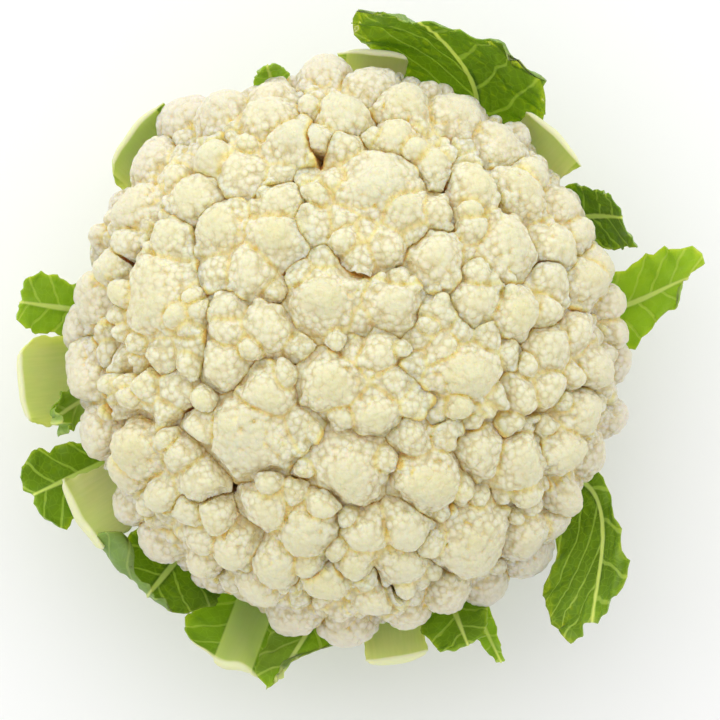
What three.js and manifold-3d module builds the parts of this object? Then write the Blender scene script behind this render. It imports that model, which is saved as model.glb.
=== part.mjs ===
// A trimmed head of cauliflower, standing on its cut stem: a stem, the florets that branch from it, and what is
// left of the leaves round them. Millimetres, +Z up; the origin is the centre of the stem's cut face.
import * as THREE from 'three';
import { mergeVertices } from 'three/addons/utils/BufferGeometryUtils.js';
import Module from 'manifold-3d';

const wasm = await Module();
wasm.setup();

// ---- Driving dimensions -------------------------------------------------------------------------------------

// The dome that the lobes' tops touch: half an ellipsoid on the head's widest level.
const DOME = { x: 90, y: 92, rise: 60, widest: 64 };
const BODY = { x: 82, y: 84, rise: 54, fall: 23 }; // what the branches fill, under the lobes and over the stem
const CORE = new THREE.Vector3(0, 0, 42); // where the branches meet, inside the top of the stem
const CORE_RADIUS = 17.5;
const GAP = 0.4; // between pieces that touch
const STEM_PROFILE = [[0, 0], [24, 0], [25, 1.5], [24.5, 11], [22.5, 20], [20, 29], [16, 35]]; // radius, z
const STEM_SIDES = 24;

// Below the widest level a ring of lobes closes the head's underside.
const SKIRT = { count: 17, in: 15, z: 54, radius: 9 };

const FLORET_DETAIL = 4; // subdivision of a floret's skin
const BLUR = 0.16; // what share of its distance round it a point of the skin is averaged over
const CENTRE_SHARE = 0.64; // how far out from the core a floret's own centre lies

// A leaf leaves the stem in one of three whorls. Each whorl's path is a cubic curve in radius and height: from
// the stem, out under the florets, up beside them, to where the leaf was cut.
const WHORLS = {
  inner: { base: [22, 32], under: [56, 37], beside: [83, 38] },
  middle: { base: [24.6, 21.5], under: [56, 28], beside: [86, 32] },
  outer: { base: [25.5, 11], under: [58, 19], beside: [89, 25] },
};
const RIB = { atStem: 7.5, atEnd: 2.4, halfWidth: 9 }; // how thick and how wide the midrib is
const BLADE = 1.4; // thickness of the leaf beside its midrib
const BELLY = 5; // how much wider, on each side, a leaf is midway
const LEAF_STEPS = 9; // along a leaf
const LEAF_STRIPS = 6; // across it

// Each floret is a list of lobes: [x, y, radius], with a fourth number where the lobe lies deeper than the dome.
const FLORETS = {
  floret_crown: [
    [34, -7, 12.5], [28, -20, 4.5], [36, -19, 4], [43, -18.5, 4], [21, 3, 5], [20.5, -4, 4.5], [34, 4.5, 4.5],
    [43, 3, 5], [49, -2, 6], [27, 10, 6.5],
  ],
  floret_crown_left: [[-5, -10, 11], [10, -1.5, 7.5], [14, -10, 6], [8, -19, 9], [20, -17, 4.5]],
  floret_crown_back: [[-6, 13, 13], [14, 12, 9.5]],
  floret_crown_far_left: [[-23, 5, 9], [-36, 5, 5.5], [-36, -4.5, 9.5], [-36, 12, 6]],
  floret_crown_front: [[0, -34, 13.5]],
  floret_inner_front_right: [[23, -39, 12], [19, -26, 7.5], [31, -26, 5.5], [35, -43, 5.5]],
  floret_inner_right_front: [[40, -32, 9], [51, -34, 10], [54, -43, 6.5]],
  floret_rim_right_front: [[69, -19, 9.5], [64, -31, 9], [80, -21, 8], [74, -32, 8], [65, -45, 7.5]],
  floret_rim_right: [[60, -1, 9.5], [61, -12, 7], [74, -6, 8], [82, -4, 8], [52, -15, 8], [69, 5, 7.5]],
  floret_rim_right_back: [[70, 20, 10], [81, 5, 7.5], [80, 13, 7], [73, 24, 9]],
  floret_inner_right: [[37, 14, 9], [50, 10, 9], [60, 11, 6], [61, 19, 7.5]],
  floret_inner_back_right: [[45.5, 29, 12.5], [25, 26, 11], [38, 36, 5.5], [37, 48, 8.5]],
  floret_rim_back_right: [[50, 46, 10.5], [54, 51, 8.5], [64, 42, 8.5], [68, 34, 8.5], [61, 29, 10]],
  floret_rim_back_centre: [[17, 71, 10], [32, 68, 10], [25.5, 54, 8], [13, 61, 8.5], [44, 60, 10]],
  floret_rim_back: [[-7, 80, 10.5], [7, 78, 10], [-1, 68, 9], [-9, 62, 7.5]],
  floret_inner_back: [
    [8, 46, 15], [-10, 36, 9], [17, 40, 8.5], [27, 40, 7], [3, 28, 5], [13, 30, 7], [20, 35, 5.5], [-1, 60, 7],
  ],
  floret_rim_back_left: [
    [-47, 68, 11], [-36, 69, 10.5], [-23.5, 68, 9], [-22, 75, 9], [-16.5, 60, 10], [-32, 51, 9], [-40.5, 56, 6],
  ],
  floret_rim_left_back: [[-58, 55, 10], [-62, 41, 10], [-45, 44, 10], [-67, 31, 7]],
  floret_inner_back_left: [[-20, 31.5, 10], [-37, 34.5, 10], [-20, 42, 8.5], [-39, 23, 6], [-28.5, 22, 9]],
  floret_inner_left: [[-53, 14, 15.5], [-48, -1, 6], [-57, -3, 6], [-52.5, 32, 8.5]],
  floret_rim_left: [[-74, 15, 11], [-70, 24, 8], [-80, 6, 9.5]],
  floret_rim_left_front: [[-76, -7, 11.5], [-73, -26, 10.5]],
  floret_deep_left: [[-49, -13, 8.5, 5], [-60, -18, 7, 9]],
  floret_inner_front_left: [[-27, -25, 16.5], [-45, -24, 7], [-23, -13, 10], [-14, -22, 6]],
  floret_rim_front_left: [[-61, -30, 11.5], [-50, -33, 6.5], [-43, -40, 9], [-55, -44, 7], [-66, -35, 9.5]],
  floret_rim_front_left_low: [
    [-40, -51, 7], [-48, -50, 6], [-34, -59, 9], [-45, -58, 6], [-56, -58, 9.5], [-44, -65, 7], [-66, -48, 8.5],
  ],
  floret_inner_front: [[-24, -47, 9], [-12, -53, 11.5], [-20, -64, 9], [-27, -72, 7.5], [-12, -66, 5.5]],
  floret_rim_front: [[-1, -81, 12], [-16, -80, 10], [7, -76, 6.5], [-7, -71, 6.5]],
  floret_front: [[5, -55, 8.5], [17, -52, 9], [17, -65, 8.5], [3, -65, 6]],
  floret_front_right: [[35, -54, 15.5], [26, -59, 6]],
  floret_rim_front_right: [[52.5, -55.5, 10.5], [55, -63, 10], [60, -53, 9]],
  floret_rim_front_centre: [[30, -74, 9], [42, -71, 9.5], [19, -80, 8]],
};

// Each leaf: its whorl, the bearing it grows on (degrees from +X towards +Y), where its cut end is (radius,
// height), and its half width at the stem and at the cut end.
const LEAVES = {
  leaf_right: { whorl: 'middle', bearing: 8, end: [112, 75], half: [8, 16] },
  leaf_right_back: { whorl: 'outer', bearing: 30, end: [95, 71], half: [9, 12] },
  leaf_back_right_stub: { whorl: 'inner', bearing: 46, end: [92, 67], half: [7, 10] },
  leaf_back_right: { whorl: 'middle', bearing: 69, end: [106, 79], half: [9, 34] },
  leaf_back_stub: { whorl: 'inner', bearing: 84, end: [91, 65], half: [6.8, 10] },
  leaf_back_tip: { whorl: 'outer', bearing: 106, end: [93, 69], half: [9, 6] },
  leaf_back_left: { whorl: 'middle', bearing: 136, end: [95, 67], half: [9, 15] },
  leaf_left_back_tip: { whorl: 'inner', bearing: 157, end: [87, 63], half: [6, 5] },
  leaf_left_back: { whorl: 'middle', bearing: 172, end: [103, 69], half: [6, 7] },
  leaf_left: { whorl: 'outer', bearing: 186, end: [101, 65], half: [12, 13] },
  leaf_left_curl: { whorl: 'inner', bearing: 190, end: [97, 69], half: [3.2, 6] },
  leaf_left_front_blade: { whorl: 'middle', bearing: 205, end: [109, 63], half: [4.6, 11] },
  leaf_left_front_stub: { whorl: 'inner', bearing: 213, end: [97, 67], half: [5.2, 13] },
  leaf_front_left_curl: { whorl: 'middle', bearing: 231, end: [104, 71], half: [6.5, 19.5] },
  leaf_front_left: { whorl: 'outer', bearing: 250, end: [104, 63], half: [11, 18] },
  leaf_front_blade: { whorl: 'inner', bearing: 264, end: [104, 72], half: [4.8, 12] },
  leaf_front_stub: { whorl: 'middle', bearing: 279, end: [97, 61], half: [8, 10] },
  leaf_front_right_tip: { whorl: 'outer', bearing: 296, end: [107, 69], half: [8, 4] },
  leaf_front_right_low: { whorl: 'inner', bearing: 292, end: [99, 71], half: [4.8, 10] },
  leaf_front_right: { whorl: 'middle', bearing: 321, end: [113, 75], half: [9, 24] },
};

const CURD = new THREE.MeshStandardMaterial({ color: 0xf1ead0, roughness: 0.75, metalness: 0 });
const STEM = new THREE.MeshStandardMaterial({ color: 0xe3e6c0, roughness: 0.6, metalness: 0 });
const LEAF = new THREE.MeshStandardMaterial({ color: 0x7fa63a, roughness: 0.5, metalness: 0 });

// ---- Solids -------------------------------------------------------------------------------------------------

function solidOf(geometry) {
  const bare = geometry.clone();
  bare.deleteAttribute('normal');
  bare.deleteAttribute('uv');
  const merged = mergeVertices(bare, 1e-3);
  return new wasm.Manifold(new wasm.Mesh({
    numProp: 3,
    vertProperties: new Float32Array(merged.attributes.position.array),
    triVerts: new Uint32Array(merged.index.array),
  }));
}

function geometryOf(solid) {
  const mesh = solid.getMesh();
  const geometry = new THREE.BufferGeometry();
  geometry.setAttribute('position', new THREE.BufferAttribute(mesh.vertProperties, 3));
  geometry.setIndex(new THREE.BufferAttribute(mesh.triVerts, 1));
  geometry.computeVertexNormals();
  return geometry;
}

function piece(name, geometry, material) {
  const mesh = new THREE.Mesh(geometry, material);
  mesh.name = name;
  return mesh;
}

// ---- Stem ---------------------------------------------------------------------------------------------------

// The cut face, the trunk, and the round top from which the branches leave.
function stemGeometry() {
  const lastPoint = STEM_PROFILE.at(-1);
  const start = Math.atan2(lastPoint[1] - CORE.z, lastPoint[0]);
  const steps = 5;
  const dome = Array.from({ length: steps }, (_, i) => {
    const angle = start + ((Math.PI / 2 - start) * (i + 1)) / steps;
    return [CORE_RADIUS * Math.cos(angle), CORE.z + CORE_RADIUS * Math.sin(angle)];
  });
  dome[steps - 1][0] = 0;
  const profile = [...STEM_PROFILE, ...dome].map(([radius, z]) => new THREE.Vector2(radius, z));
  return new THREE.LatheGeometry(profile, STEM_SIDES).rotateX(Math.PI / 2);
}

// ---- Florets ------------------------------------------------------------------------------------------------

// A lobe's centre: its ball touches the dome from inside, less how deep it is set.
function lobeCentre([x, y, radius, deeper = 0]) {
  const share = (x / (DOME.x - radius)) ** 2 + (y / (DOME.y - radius)) ** 2;
  const z = DOME.widest + (DOME.rise - radius) * Math.sqrt(Math.max(0, 1 - share)) - deeper;
  return new THREE.Vector3(x, y, z);
}

function floretOf(name, lobes) {
  const balls = lobes.map((lobe) => ({ centre: lobeCentre(lobe), radius: lobe[2] }));
  const axis = new THREE.Vector3();
  let solidAngle = 0;
  for (const ball of balls) {
    const arm = ball.centre.clone().sub(CORE);
    axis.addScaledVector(arm.clone().normalize(), ball.radius ** 2);
    solidAngle += (ball.radius / arm.length()) ** 2;
  }
  axis.normalize();
  const reach = Math.max(...balls.map((ball) => ball.centre.clone().sub(CORE).dot(axis)));
  const centre = CORE.clone().addScaledVector(axis, reach * CENTRE_SHARE);
  const deeper = lobes.reduce((sum, lobe) => sum + (lobe[3] ?? 0), 0) / lobes.length;
  return { name, balls, axis, centre, deeper, weight: 1 / Math.cos(Math.sqrt(solidAngle)) };
}

const florets = Object.entries(FLORETS).map(([name, lobes]) => floretOf(name, lobes));

// The floret that a point belongs to: the one whose cap, seen from the core, the point lies deepest in.
function floretAt(point) {
  const arm = point.clone().sub(CORE);
  const depth = (floret) => floret.weight * floret.axis.dot(arm);
  return florets.reduce((best, floret) => (depth(floret) > depth(best) ? floret : best));
}

function addSkirt() {
  for (let i = 0; i < SKIRT.count; i += 1) {
    const bearing = (2 * Math.PI * i) / SKIRT.count;
    const x = (DOME.x - SKIRT.in) * Math.cos(bearing);
    const y = (DOME.y - SKIRT.in) * Math.sin(bearing);
    const centre = new THREE.Vector3(x, y, SKIRT.z);
    floretAt(centre).balls.push({ centre, radius: SKIRT.radius });
  }
}

// The planes that bound a floret, each as a normal that faces into it and how deep the floret's centre lies:
// those through the core that part it from each other floret, and the one where its branch meets the stem.
function wallsOf(floret) {
  const arm = floret.centre.clone().sub(CORE);
  const walls = florets
    .filter((other) => other !== floret)
    .map((other) => floret.axis.clone().multiplyScalar(floret.weight)
      .addScaledVector(other.axis, -other.weight).normalize())
    .map((normal) => ({ normal, depth: normal.dot(arm) - GAP / 2 }));
  walls.push({ normal: floret.axis, depth: arm.length() - CORE_RADIUS - GAP });
  return walls;
}

// How far a ray from inside a ball runs before it leaves the ball, or nothing if it misses it.
function exitOf(ball, from, direction) {
  const arm = ball.centre.clone().sub(from);
  const along = arm.dot(direction);
  const inside = ball.radius ** 2 - arm.lengthSq() + along ** 2;
  return inside < 0 ? 0 : along + Math.sqrt(inside);
}

// The same for the body that the branches fill: half an ellipsoid above the widest level, a flatter one below it.
function exitOfBody(from, direction, deeper) {
  const [above, below] = [BODY.rise, BODY.fall].map((height) => {
    const sizes = new THREE.Vector3(BODY.x, BODY.y, height).subScalar(deeper);
    const start = from.clone().setZ(from.z - DOME.widest).divide(sizes);
    const ray = direction.clone().divide(sizes);
    const stretch = ray.length();
    return exitOf({ centre: new THREE.Vector3(), radius: 1 }, start, ray.divideScalar(stretch)) / stretch;
  });
  return from.z + above * direction.z > DOME.widest ? above : below;
}

// How far a floret's skin lies from its centre in one direction, without its walls.
function skinAt(floret, direction) {
  const lobes = floret.balls.map((ball) => exitOf(ball, floret.centre, direction));
  return Math.max(exitOfBody(floret.centre, direction, floret.deeper), ...lobes);
}

// The same averaged with six directions round it, so that a coarse skin has no spikes.
function smoothSkinAt(floret, direction) {
  const side = new THREE.Vector3(direction.y, direction.z, direction.x).cross(direction).setLength(BLUR);
  let sum = skinAt(floret, direction);
  for (let i = 0; i < 6; i += 1) {
    side.applyAxisAngle(direction, Math.PI / 3);
    sum += skinAt(floret, direction.clone().add(side).normalize());
  }
  return sum / 7;
}

// A floret's head: its lobes and its share of the body, as seen from its own centre and kept between its walls.
function floretGeometry(floret) {
  const walls = wallsOf(floret);
  const skin = new THREE.IcosahedronGeometry(1, FLORET_DETAIL);
  const position = skin.attributes.position;
  const direction = new THREE.Vector3();
  for (let i = 0; i < position.count; i += 1) {
    direction.fromBufferAttribute(position, i).normalize();
    let far = smoothSkinAt(floret, direction);
    for (const { normal, depth } of walls) {
      const towards = -normal.dot(direction);
      if (towards > 1e-6) far = Math.min(far, depth / towards);
    }
    direction.multiplyScalar(far).add(floret.centre);
    position.setXYZ(i, direction.x, direction.y, direction.z);
  }
  return geometryOf(solidOf(skin));
}

// ---- Leaves -------------------------------------------------------------------------------------------------

// A closed sheet: the face towards the florets is smooth, and the midrib swells the other face.
function leafGeometry({ whorl, bearing, end, half }) {
  const corners = [WHORLS[whorl].base, WHORLS[whorl].under, WHORLS[whorl].beside, end];
  const path = new THREE.CubicBezierCurve(...corners.map(([radius, z]) => new THREE.Vector2(radius, z)));
  const points = [];
  for (const back of [0, 1]) {
    for (let i = 0; i <= LEAF_STEPS; i += 1) {
      const along = i / LEAF_STEPS;
      const spot = path.getPoint(along);
      const tangent = path.getTangent(along);
      const width = THREE.MathUtils.lerp(half[0], half[1], THREE.MathUtils.smoothstep(along, 0.25, 0.95))
        + BELLY * Math.sin(Math.PI * along);
      const rib = THREE.MathUtils.lerp(RIB.atStem, RIB.atEnd, along ** 0.7);
      for (let k = 0; k <= LEAF_STRIPS; k += 1) {
        const across = (2 * k) / LEAF_STRIPS - 1;
        const fromRib = Math.min(1, Math.abs(across) * width / RIB.halfWidth);
        const thickness = BLADE + (rib - BLADE) * Math.cos((fromRib * Math.PI) / 2);
        const radius = spot.x + tangent.y * back * thickness;
        const z = spot.y - tangent.x * back * thickness;
        const angle = THREE.MathUtils.degToRad(bearing) + (across * width) / spot.x;
        points.push(radius * Math.cos(angle), radius * Math.sin(angle), z);
      }
    }
  }

  const row = LEAF_STRIPS + 1;
  const sheet = row * (LEAF_STEPS + 1);
  const faces = [];
  const quad = (a, b, c, d) => faces.push(a, b, c, a, c, d);
  for (let i = 0; i < LEAF_STEPS; i += 1) {
    for (let k = 0; k < LEAF_STRIPS; k += 1) {
      const a = i * row + k;
      quad(a, a + row, a + row + 1, a + 1);
      quad(sheet + a, sheet + a + 1, sheet + a + row + 1, sheet + a + row);
    }
    const [left, right] = [i * row, i * row + LEAF_STRIPS];
    quad(left, sheet + left, sheet + left + row, left + row);
    quad(right, right + row, sheet + right + row, sheet + right);
  }
  for (let k = 0; k < LEAF_STRIPS; k += 1) {
    const last = LEAF_STEPS * row + k;
    quad(k, k + 1, sheet + k + 1, sheet + k);
    quad(last, sheet + last, sheet + last + 1, last + 1);
  }
  const geometry = new THREE.BufferGeometry();
  geometry.setAttribute('position', new THREE.Float32BufferAttribute(points, 3));
  geometry.setIndex(faces);
  geometry.computeVertexNormals();
  return geometry;
}

// ---- The head -----------------------------------------------------------------------------------------------

addSkirt();
const cauliflower = new THREE.Group();
cauliflower.add(piece('stem', stemGeometry(), STEM));
for (const floret of florets) cauliflower.add(piece(floret.name, floretGeometry(floret), CURD));
for (const [name, leaf] of Object.entries(LEAVES)) cauliflower.add(piece(name, leafGeometry(leaf), LEAF));

export default cauliflower;
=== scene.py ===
"""A trimmed head of cauliflower that stands on its cut stem: florets, leaves and the stem.

Shapes are worked out in mm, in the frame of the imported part. Meshes are made in metres.
"""
from dataclasses import dataclass
import math

import bpy
import numpy as np
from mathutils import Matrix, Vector
from mathutils.kdtree import KDTree


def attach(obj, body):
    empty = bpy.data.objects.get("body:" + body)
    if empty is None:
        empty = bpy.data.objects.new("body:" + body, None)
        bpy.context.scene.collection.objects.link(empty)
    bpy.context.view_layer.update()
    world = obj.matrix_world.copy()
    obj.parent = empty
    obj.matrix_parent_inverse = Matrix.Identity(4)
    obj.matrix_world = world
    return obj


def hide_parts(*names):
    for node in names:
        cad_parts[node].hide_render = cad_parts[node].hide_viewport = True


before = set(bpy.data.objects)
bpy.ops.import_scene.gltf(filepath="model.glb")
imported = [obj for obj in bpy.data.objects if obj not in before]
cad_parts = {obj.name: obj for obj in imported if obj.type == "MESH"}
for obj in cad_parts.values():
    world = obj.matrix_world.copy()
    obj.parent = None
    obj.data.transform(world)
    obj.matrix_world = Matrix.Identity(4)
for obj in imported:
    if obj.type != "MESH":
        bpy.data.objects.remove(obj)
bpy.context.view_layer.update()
MM = 0.001
SEED = 7
FAR = 1e3
GOLDEN_ANGLE = math.pi * (3 - math.sqrt(5))

# ---- Driving dimensions, in mm ----

DOME = np.array([90.0, 92.0, 60.0])  # half an ellipsoid on the widest level that the lobes touch
WIDEST = 64.0
BODY = np.array([82.2, 84.2, 55.7])  # what the branches fill above the widest level
BODY_FALL = 23.0  # and how far it reaches below it
CORE = np.array([0.0, 0.0, 42.0])  # where the branches meet
CORE_RADIUS = 17.5  # and how far from there florets start
CURD_EDGE = 50.0  # the height below which the branches are bare

# Lobes
SUNK_BELOW = 11.0  # lobes smaller than this lie deeper than the dome
SUNK = 0.3  # by this share of what they are smaller
FALL_OFF = 0.006  # lobes lie deeper by this times the square of how far they are from the floret's axis
MOST_FALL = 2.6
RIM = (72.0, 52.0)  # but not at the head's rim, and in full only this near its middle
CENTRE_SHARE = 0.64  # how far out from the core a floret's own centre lies
SKIRT = {"count": 17, "in": 15, "z": 54, "radius": 9}  # a ring of lobes that closes the head's underside
DRIFT = {"waves": 10, "length": (16, 32), "size": 0.6}  # how the lobes are pulled out of round
BODY_TURN = 1.35  # how far down the body small lobes and knobs grow: 1 is its widest level, 2 its bottom
SMALL_LOBES = {"tried": 1400, "jitter": 1.2, "radius": (3.4, 5.6), "clear": 1.1, "sunk": (0.45, 0.8)}

# Knobs, on the lobes and between them
FILL = {"tried": 3000, "jitter": 0.9, "radius": (1.9, 3.0), "sunk": (0.4, 0.8)}
KNOB_REACH = 1.95  # how far round a lobe its knobs go, in radians from its top
KNOB_SPACING = (3.3, 4.5)  # between knobs, at a lobe's top and at its edge
SMALL_SPACING = (0.75, 0.6)  # the least shares of it that are left on small lobes
WHOLE_SPACING = 10.0  # the radius from which a lobe has all of it
PACKING = 0.866  # a knob takes this share of the square of its spacing
KNOB_JITTER = 0.35  # how unevenly far the knobs stand out
FLANK = (0.1, 0.45)  # where a lobe's top turns into its flank, as shares of KNOB_REACH
KNOB_ROUND = (0.88, 0.58)  # a knob's radius as a share of its spacing, on the top and on the flank
KNOB_OVERLAP = 0.8  # knobs that would lie deeper than this in another lobe are left out
LOBE_SHARE = 0.8  # how much of a lobe's radius shows between its knobs

# Borders between florets
NEIGHBOUR = 0.45  # the least cosine between the axes of florets that may touch
PRESS = 1.6  # how far florets press into each other
KNOB_EDGE = {"size": 1.5, "share": 0.9, "near": 3.5}  # how far borders wind, how closely, how deep
CLEFT = {"depth": 1.7, "half_width": 6.0, "reach": 5.0, "rounding": 2.2}  # how the skin falls to a border
BARE = {"fade": 8, "rounding": 5}  # where the branches are bare it does so more softly
LOBE_CREASE = {"depth": 1.2, "half_width": 1.8}  # the creases between lobes of one floret
BRINK = {"inside": 0.5, "beyond": (-3.0, -1.5), "rounds": 3}  # where the skin is smoothed beside a border
# The crease colour that seams take is a painted warm glow, lighter to offset the shade there.
SEAM_WIDTH = 1.2  # how far from a border the skin takes the colour of a crease
WALL_FROM = 0.8  # how far beyond it the skin is all wall, down between florets

# Meshes of florets
HALVINGS = (3, 5)  # how often edges are halved in the first mesh, and then on open skin
HIDDEN = 2.0  # skin that would lie this far beyond the borders isn't seen
EDGE_LENGTH = (0.9, 1.35)  # the longest edge on open skin, where it is rough and where it is smooth
ROUGH = (0.2, 0.07)  # how far a point stands out from those round it, as shares of the edges' length
LOW_EDGE_LENGTH = 1.8  # the longest edge below CURD_EDGE
BORDER_STEPS = (9, 5)  # how often the way to a border is halved, without and with the knobs
HOLLOW_ROUNDS = 24  # how often the skin is smoothed, to find its hollows
DOME_SIZE = 75.0  # about the dome's mean radius

# Each floret is a list of lobes: [x, y, radius], and a fourth number for a lobe that lies deeper.
FLORETS = {
    "crown": [
        [34, -7, 12.5], [28, -20, 4.5], [36, -19, 4], [43, -18.5, 4], [21, 3, 5], [20.5, -4, 4.5],
        [34, 4.5, 4.5], [43, 3, 5], [49, -2, 6], [27, 10, 6.5],
    ],
    "crown_left": [[-5, -10, 11], [10, -1.5, 7.5], [14, -10, 6], [8, -19, 9], [20, -17, 4.5]],
    "crown_back": [[-6, 13, 13], [14, 12, 9.5]],
    "crown_far_left": [[-23, 5, 9], [-36, 5, 5.5], [-36, -4.5, 9.5], [-36, 12, 6]],
    "crown_front": [[0, -34, 13.5]],
    "inner_front_right": [[23, -39, 12], [19, -26, 7.5], [31, -26, 5.5], [35, -43, 5.5]],
    "inner_right_front": [[40, -32, 9], [51, -34, 10], [54, -43, 6.5]],
    "rim_right_front": [[69, -19, 9.5], [64, -31, 9], [80, -21, 8], [74, -32, 8], [65, -45, 7.5]],
    "rim_right": [[60, -1, 9.5], [61, -12, 7], [74, -6, 8], [82, -4, 8], [52, -15, 8], [69, 5, 7.5]],
    "rim_right_back": [[70, 20, 10], [81, 5, 7.5], [80, 13, 7], [73, 24, 9]],
    "inner_right": [[37, 14, 9], [50, 10, 9], [60, 11, 6], [61, 19, 7.5]],
    "inner_back_right": [[45.5, 29, 12.5], [25, 26, 11], [38, 36, 5.5], [37, 48, 8.5]],
    "rim_back_right": [[50, 46, 10.5], [54, 51, 8.5], [64, 42, 8.5], [68, 34, 8.5], [61, 29, 10]],
    "rim_back_centre": [[17, 71, 10], [32, 68, 10], [25.5, 54, 8], [13, 61, 8.5], [44, 60, 10]],
    "rim_back": [[-7, 80, 10.5], [7, 78, 10], [-1, 68, 9], [-9, 62, 7.5]],
    "inner_back": [
        [8, 46, 15], [-10, 36, 9], [17, 40, 8.5], [27, 40, 7], [3, 28, 5], [13, 30, 7], [20, 35, 5.5],
        [-1, 60, 7],
    ],
    "rim_back_left": [
        [-47, 68, 11], [-36, 69, 10.5], [-23.5, 68, 9], [-22, 75, 9], [-16.5, 60, 10], [-32, 51, 9],
        [-40.5, 56, 6],
    ],
    "rim_left_back": [[-58, 55, 10], [-62, 41, 10], [-45, 44, 10], [-67, 31, 7]],
    "inner_back_left": [
        [-20, 31.5, 10], [-37, 34.5, 10], [-20, 42, 8.5], [-39, 23, 6], [-28.5, 22, 9],
    ],
    "inner_left": [[-53, 14, 15.5], [-48, -1, 6], [-57, -3, 6], [-52.5, 32, 8.5]],
    "rim_left": [[-74, 15, 11], [-70, 24, 8], [-80, 6, 9.5]],
    "rim_left_front": [[-76, -7, 11.5], [-73, -26, 10.5]],
    "deep_left": [[-49, -13, 8.5, 3], [-60, -18, 7, 5]],
    "inner_front_left": [[-27, -25, 16.5], [-45, -24, 7], [-23, -13, 10], [-14, -22, 6]],
    "rim_front_left": [
        [-61, -30, 11.5], [-50, -33, 6.5], [-43, -40, 9], [-55, -44, 7], [-66, -35, 9.5],
    ],
    "rim_front_left_low": [
        [-40, -51, 7], [-48, -50, 6], [-34, -59, 9], [-45, -58, 6], [-56, -58, 9.5], [-44, -65, 7],
        [-66, -48, 8.5],
    ],
    "inner_front": [[-24, -47, 9], [-12, -53, 11.5], [-20, -64, 9], [-27, -72, 7.5], [-12, -66, 5.5]],
    "rim_front": [[-1, -81, 12], [-16, -80, 10], [7, -76, 6.5], [-7, -71, 6.5]],
    "front": [[5, -55, 8.5], [17, -52, 9], [17, -65, 8.5], [3, -65, 6]],
    "front_right": [[35, -54, 15.5], [26, -59, 6]],
    "rim_front_right": [[52.5, -55.5, 10.5], [55, -63, 10], [60, -53, 9]],
    "rim_front_centre": [[30, -74, 9], [42, -71, 9.5], [19, -80, 8]],
}

# The deepest clefts, as lines over the head seen from above: depth, half width and points along them.
CLEFTS = [
    (4.0, 7, [[-65, 20], [-66.5, 14], [-65.5, -7], [-65.5, -22], [-72, -35]]),
    (3.1, 7, [[-49.5, -24.5], [-44.5, -32], [-38, -39.5], [-32.5, -45], [-29.5, -54.5]]),
    (1.8, 7, [[-44.5, -8], [-40.5, -14], [-24, -3.5], [-17.5, -0.5], [-17, 14.5]]),
    (1.6, 7, [[-26.5, -0.5], [0.5, 2], [21.5, 5.5]]),
    (1.6, 7, [[53, 1], [63.5, 5.5], [69.5, -0.5], [80, -5]]),
    (2.5, 7, [
        [-32.5, -45.5], [-23.5, -42.5], [-14.5, -41], [-8.5, -47], [9.5, -45.5], [24.5, -42.5], [36.5, -39],
    ]),
    (1.7, 7, [[-14.5, -15.5], [-11.5, -20], [-2.5, -18.5], [12.5, -27.5], [24.5, -30.5], [33.5, -29]]),
    (1.8, 7, [[45.5, -14], [47, -23], [57.5, -23], [65, -17], [75.5, -15.5]]),
    (1.8, 7, [[47, -44], [48.5, -48.5], [59, -47], [69.5, -41]]),
    (1.8, 7, [[45.5, -57.5], [42.5, -63.5], [36.5, -69.5], [24.5, -72.5]]),
    (1.7, 6, [[2, 26], [12.5, 24], [21.5, 31], [29, 43], [39, 39.5], [47, 38], [57.5, 36]]),
    (1.4, 6, [[-2.5, 54], [4.5, 58], [9, 68]]),
]

# ---- Mesh helpers ----


def lengths(vectors):
    return np.linalg.norm(vectors, axis=-1)


def unit(vectors):
    return vectors / lengths(vectors)[..., None]


def ease(low, high, value):
    """From 0 at low to 1 at high, with a soft start and end."""
    share = np.clip((value - low) / (high - low), 0, 1)
    return share * share * (3 - 2 * share)


def placed(radius, bearing, height):
    """Points at a radius, a bearing in radians and a height from the head's axis."""
    return np.stack([radius * np.cos(bearing), radius * np.sin(bearing), height], -1)


def edges_of(triangles):
    """Every edge once, and for each triangle the numbers of its three edges: 0-1, 1-2 and 2-0."""
    pairs = np.concatenate([triangles[:, [0, 1]], triangles[:, [1, 2]], triangles[:, [2, 0]]])
    pairs.sort(axis=1)
    base = pairs.max() + 1
    keys, index = np.unique(pairs[:, 0] * base + pairs[:, 1], return_inverse=True)
    return np.stack([keys // base, keys % base], 1), index.reshape(3, -1).T


def split_edges(triangles, count, chosen_of):
    """Halves the chosen edges. Returns the new triangles and the pairs that the new vertices lie between."""
    edges, sides = edges_of(triangles)
    chosen = chosen_of(edges)
    middle = np.full(len(edges), -1)
    middle[chosen] = count + np.arange(chosen.sum())
    mids = middle[sides]
    cuts = (mids >= 0).sum(1)
    parts = [triangles[cuts == 0]]

    def rolled(selected, first):
        """The selected triangles and their middles, rolled so that side number first comes first."""
        order = (first[:, None] + np.arange(3)) % 3
        rows = np.nonzero(selected)[0][:, None]
        return np.hstack([triangles[rows, order], mids[rows, order]]).T

    one = cuts == 1
    a, b, c, ab, _, _ = rolled(one, np.argmax(mids[one] >= 0, 1))
    parts += [np.stack([a, ab, c], 1), np.stack([ab, b, c], 1)]
    two = cuts == 2
    a, b, c, _, bc, ca = rolled(two, np.argmax(mids[two] < 0, 1))
    parts += [np.stack([a, b, bc], 1), np.stack([a, bc, ca], 1), np.stack([ca, bc, c], 1)]
    three = cuts == 3
    a, b, c, ab, bc, ca = rolled(three, np.zeros(three.sum(), int))
    parts += [np.stack(corner, 1) for corner in ((a, ab, ca), (ab, b, bc), (ca, bc, c), (ab, bc, ca))]
    return np.concatenate(parts), edges[chosen]


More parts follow.
